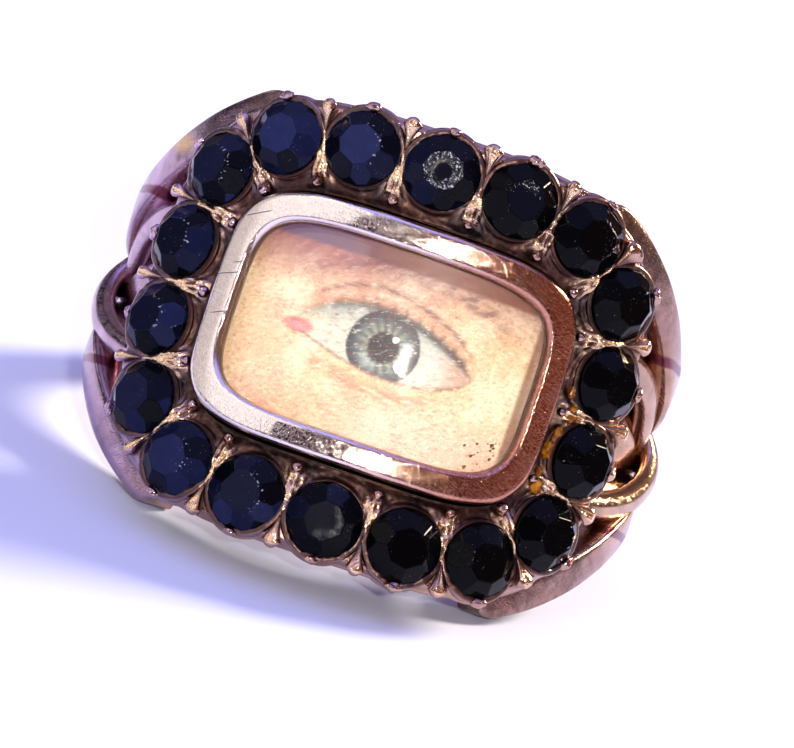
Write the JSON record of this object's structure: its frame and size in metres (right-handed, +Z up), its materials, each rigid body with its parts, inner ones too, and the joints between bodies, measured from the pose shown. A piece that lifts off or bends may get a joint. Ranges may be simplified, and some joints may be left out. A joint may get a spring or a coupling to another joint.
{
  "type": "mourning ring",
  "caption": "Rose gold mourning ring with a painted eye under crystal, a border of black faceted stones and ribbon shoulders.",
  "frame": {"origin": "on the surface that the ring lies on, under the middle of its length and width", "axes": "+Z up from the surface, +X across the finger, -Y towards the side where the head faces; the finger hole runs up and leans towards +Y"},
  "size_m": [0.0236, 0.0252, 0.0178],
  "materials": {
    "rose_gold": "worn rose gold, bright on the edges and dull in the recesses",
    "polished_gold": "polished rose gold with fine scratches",
    "crystal": "clear and polished",
    "painted_ivory": "watercolour on ivory, satin",
    "black_stone": "black glass, faceted and polished, some tables worn"
  },
  "bodies": {
    "root": {"mount": "rose_gold", "window_frame": "polished_gold", "crystal": "crystal", "miniature": "painted_ivory", "stone_01": "black_stone", "stone_02": "black_stone", "stone_03": "black_stone", "stone_04": "black_stone", "stone_05": "black_stone", "stone_06": "black_stone", "stone_07": "black_stone", "stone_08": "black_stone", "stone_09": "black_stone", "stone_10": "black_stone", "stone_11": "black_stone", "stone_12": "black_stone", "stone_13": "black_stone", "stone_14": "black_stone", "stone_15": "black_stone", "stone_16": "black_stone", "stone_17": "black_stone", "stone_18": "black_stone"}
  },
  "joints": []
}
